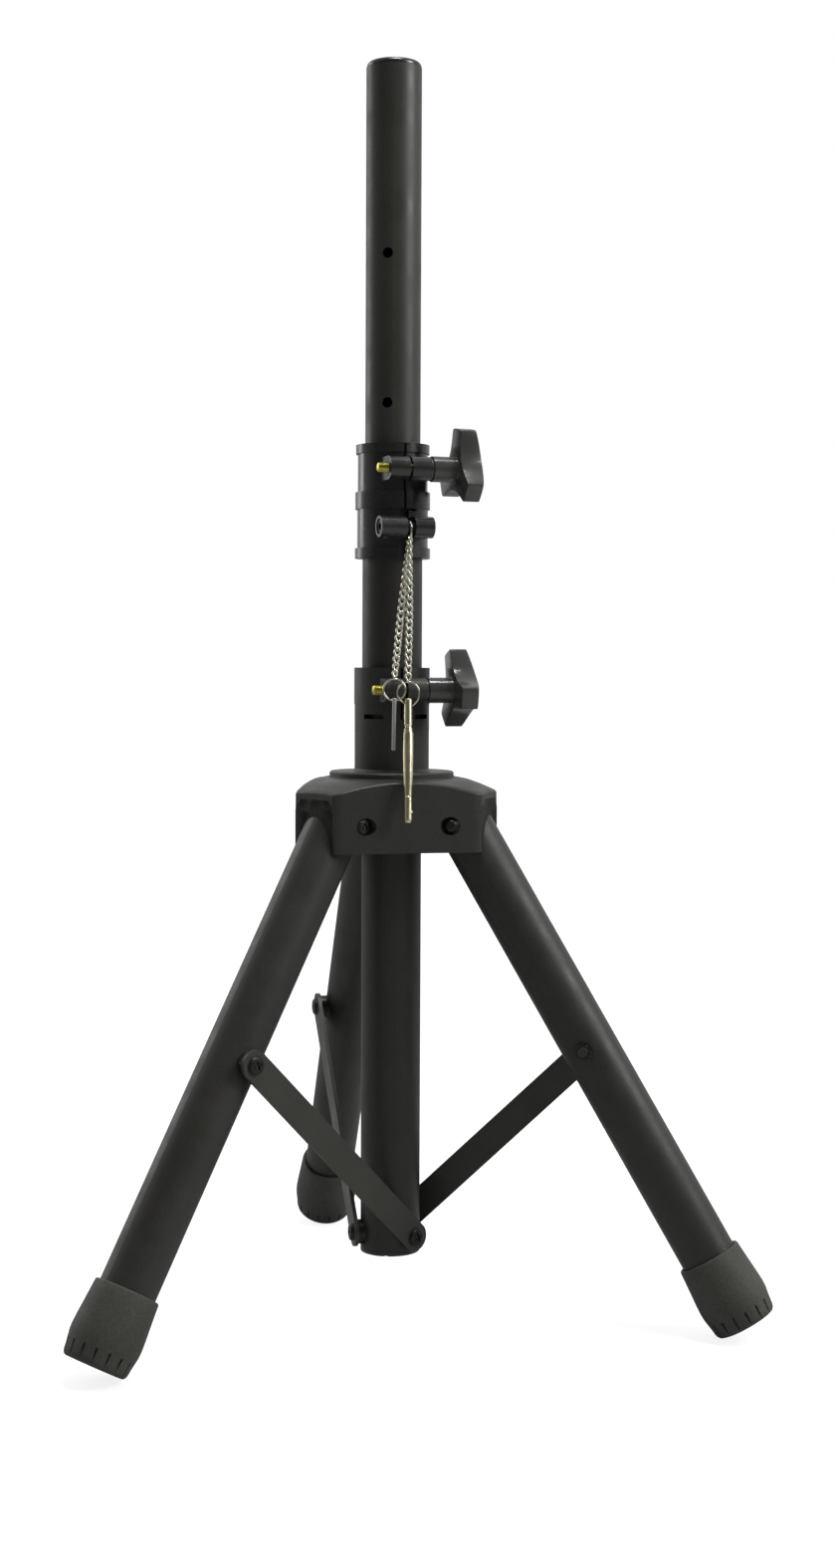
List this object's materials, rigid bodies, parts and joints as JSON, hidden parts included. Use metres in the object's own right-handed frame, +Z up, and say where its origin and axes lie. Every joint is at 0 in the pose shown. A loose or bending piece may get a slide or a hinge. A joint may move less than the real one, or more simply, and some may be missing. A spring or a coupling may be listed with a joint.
{
  "type": "speaker tripod stand",
  "caption": "Folding tripod stand for a loudspeaker: sliding hub with braced tubular legs, clamped telescoping pole and hanging safety pins.",
  "frame": {"origin": "on the floor plane, on the axis of the pole and centre tube", "axes": "+Z up along the pole; +Y towards the back leg; the flat hub face between the two front legs looks to -Y; the clamp knobs are on the +X side"},
  "size_m": [0.4328, 0.3803, 0.79],
  "materials": {
    "tube_coat": "fine textured black powder coat",
    "brace_coat": "satin black paint",
    "hub_coat": "matte black powder coat",
    "foot_rubber": "matte grey-black rubber",
    "knob_plastic": "satin black moulded plastic",
    "zinc_yellow": "yellow zinc plated thread",
    "bright_steel": "bright nickel plate",
    "black_moulding": "satin black moulded plastic",
    "black_screw": "blackened steel"
  },
  "bodies": {
    "centre_tube": {"centre_tube": "tube_coat", "tube_end_cap": "black_moulding", "tube_spacers": "black_screw", "lower_brace_screws": "black_screw", "upper_clamp": "black_moulding", "pole_bush": "black_moulding", "pinch_bolt": "black_screw", "pinch_nut": "black_screw", "upper_knob_nut": "zinc_yellow"},
    "hub": {"hub": "hub_coat", "hub_collar": "hub_coat", "leg_hinge_bolts": "black_screw", "leg_hinge_nuts": "black_screw", "lower_knob_nut": "zinc_yellow"},
    "pole_guide": {"pole_guide": "black_moulding"},
    "pole": {"pole_tube": "tube_coat", "pole_top_cap": "black_moulding"},
    "upper_knob_travel": {"upper_knob_washer": "black_screw"},
    "upper_knob": {"upper_knob": "knob_plastic", "upper_knob_bolt": "zinc_yellow"},
    "lower_knob_travel": {"lower_knob_washer": "black_screw"},
    "lower_knob": {"lower_knob": "knob_plastic", "lower_knob_bolt": "zinc_yellow"},
    "chain_hook": {"chain_hook": "bright_steel"},
    "left_chain": {"left_chain": "bright_steel"},
    "right_chain": {"right_chain": "bright_steel"},
    "left_ring": {"left_ring": "bright_steel"},
    "right_ring": {"right_ring": "bright_steel"},
    "small_pin": {"small_pin": "bright_steel"},
    "safety_pin": {"safety_pin": "bright_steel"},
    "detent_ball": {"detent_ball": "bright_steel"},
    "left_leg": {"left_leg_tube": "tube_coat", "left_leg_head": "black_moulding", "left_foot": "foot_rubber", "left_leg_spacer": "black_screw", "left_leg_bolt": "black_screw", "left_leg_nut": "black_screw"},
    "left_brace": {"left_brace": "brace_coat", "left_brace_screw": "black_screw"},
    "right_leg": {"right_leg_tube": "tube_coat", "right_leg_head": "black_moulding", "right_foot": "foot_rubber", "right_leg_spacer": "black_screw", "right_leg_bolt": "black_screw", "right_leg_nut": "black_screw"},
    "right_brace": {"right_brace": "brace_coat", "right_brace_screw": "black_screw"},
    "back_leg": {"back_leg_tube": "tube_coat", "back_leg_head": "black_moulding", "back_foot": "foot_rubber", "back_leg_spacer": "black_screw", "back_leg_bolt": "black_screw", "back_leg_nut": "black_screw"},
    "back_brace": {"back_brace": "brace_coat", "back_brace_screw": "black_screw"}
  },
  "joints": [
    {"name": "hub_slide", "type": "slide", "parent": "centre_tube", "child": "hub", "axis": [0, 0, 1], "range_m": [0, 0.067]},
    {"name": "left_leg_fold", "type": "hinge", "parent": "hub", "child": "left_leg", "pos_m": [-0.04127, -0.02382, 0.31367], "axis": [0.5, -0.866, 0], "range_deg": [0, 25.79]},
    {"name": "left_brace_fold", "type": "hinge", "parent": "centre_tube", "child": "left_brace", "pos_m": [0, 0, 0.0495], "axis": [-0.5, 0.866, 0], "range_deg": [0, 26.03]},
    {"name": "right_leg_fold", "type": "hinge", "parent": "hub", "child": "right_leg", "pos_m": [0.04127, -0.02382, 0.31367], "axis": [0.5, 0.866, 0], "range_deg": [0, 25.79]},
    {"name": "right_brace_fold", "type": "hinge", "parent": "centre_tube", "child": "right_brace", "pos_m": [0, 0, 0.0495], "axis": [-0.5, -0.866, 0], "range_deg": [0, 26.03]},
    {"name": "back_leg_fold", "type": "hinge", "parent": "hub", "child": "back_leg", "pos_m": [0, 0.04765, 0.31367], "axis": [-1, 0, 0], "range_deg": [0, 25.79]},
    {"name": "back_brace_fold", "type": "hinge", "parent": "centre_tube", "child": "back_brace", "pos_m": [0, 0, 0.0495], "axis": [1, 0, 0], "range_deg": [0, 26.03]},
    {"name": "pole_slide", "type": "slide", "parent": "centre_tube", "child": "pole_guide", "axis": [0, 0, 1], "range_m": [0, 0.35]},
    {"name": "pole_swivel", "type": "hinge", "parent": "pole_guide", "child": "pole", "pos_m": [0, 0, 0.086], "axis": [0, 0, 1], "continuous": true},
    {"name": "upper_knob_travel", "type": "slide", "parent": "centre_tube", "child": "upper_knob_travel", "axis": [0.9919, 0.1271, 0], "range_m": [0, 0.003]},
    {"name": "upper_knob_turn", "type": "hinge", "parent": "upper_knob_travel", "child": "upper_knob", "pos_m": [0.00368, -0.02876, 0.5352], "axis": [0.9919, 0.1271, 0], "range_deg": [0, 1080]},
    {"name": "lower_knob_travel", "type": "slide", "parent": "hub", "child": "lower_knob_travel", "axis": [0.999, 0.0454, 0], "range_m": [0, 0.003]},
    {"name": "lower_knob_turn", "type": "hinge", "parent": "lower_knob_travel", "child": "lower_knob", "pos_m": [0.00136, -0.02997, 0.3975], "axis": [0.999, 0.0454, 0], "range_deg": [0, 1080]},
    {"name": "chain_hook_swing", "type": "hinge", "parent": "centre_tube", "child": "chain_hook", "pos_m": [0.00384, -0.02996, 0.4988], "axis": [-0.9919, -0.1271, 0], "range_deg": [0, 16.01]},
    {"name": "left_chain_swing", "type": "hinge", "parent": "chain_hook", "child": "left_chain", "pos_m": [0.00368, -0.02876, 0.49097], "axis": [0.2147, 0.9767, 0], "range_deg": [0, 9]},
    {"name": "right_chain_swing", "type": "hinge", "parent": "chain_hook", "child": "right_chain", "pos_m": [0.00419, -0.03273, 0.49181], "axis": [-0.2147, -0.9767, 0], "range_deg": [0, 9]},
    {"name": "left_ring_swing", "type": "hinge", "parent": "left_chain", "child": "left_ring", "pos_m": [-0.00752, -0.04166, 0.40465], "axis": [0.2147, 0.9767, 0], "range_deg": [0, 12]},
    {"name": "small_pin_swing", "type": "hinge", "parent": "left_ring", "child": "small_pin", "pos_m": [-0.00752, -0.04166, 0.39115], "axis": [-0.9767, 0.2147, 0], "range_deg": [0, 25]},
    {"name": "right_ring_swing", "type": "hinge", "parent": "right_chain", "child": "right_ring", "pos_m": [0.00108, -0.04211, 0.40285], "axis": [-0.2147, -0.9767, 0], "range_deg": [0, 12]},
    {"name": "safety_pin_swing", "type": "hinge", "parent": "right_ring", "child": "safety_pin", "pos_m": [0.00108, -0.04211, 0.38935], "axis": [-0.9767, 0.2147, 0], "range_deg": [0, 25]},
    {"name": "detent_press", "type": "slide", "parent": "safety_pin", "child": "detent_ball", "axis": [-0.9767, 0.2147, 0], "range_m": [0, 0.0006], "stiffness_N_per_m": 400, "springref_m": -0.0002}
  ],
  "couplings": [
    {"joint": "left_leg_fold", "follows": "hub_slide", "rad_per_m": 6.7161},
    {"joint": "left_brace_fold", "follows": "hub_slide", "rad_per_m": 6.7779},
    {"joint": "right_leg_fold", "follows": "hub_slide", "rad_per_m": 6.7161},
    {"joint": "right_brace_fold", "follows": "hub_slide", "rad_per_m": 6.7779},
    {"joint": "back_leg_fold", "follows": "hub_slide", "rad_per_m": 6.7161},
    {"joint": "back_brace_fold", "follows": "hub_slide", "rad_per_m": 6.7779},
    {"joint": "upper_knob_travel", "follows": "upper_knob_turn", "m_per_rad": 0.00015915},
    {"joint": "lower_knob_travel", "follows": "lower_knob_turn", "m_per_rad": 0.00015915},
    {"joint": "chain_hook_swing", "follows": "hub_slide", "rad_per_m": 4.168}
  ]
}
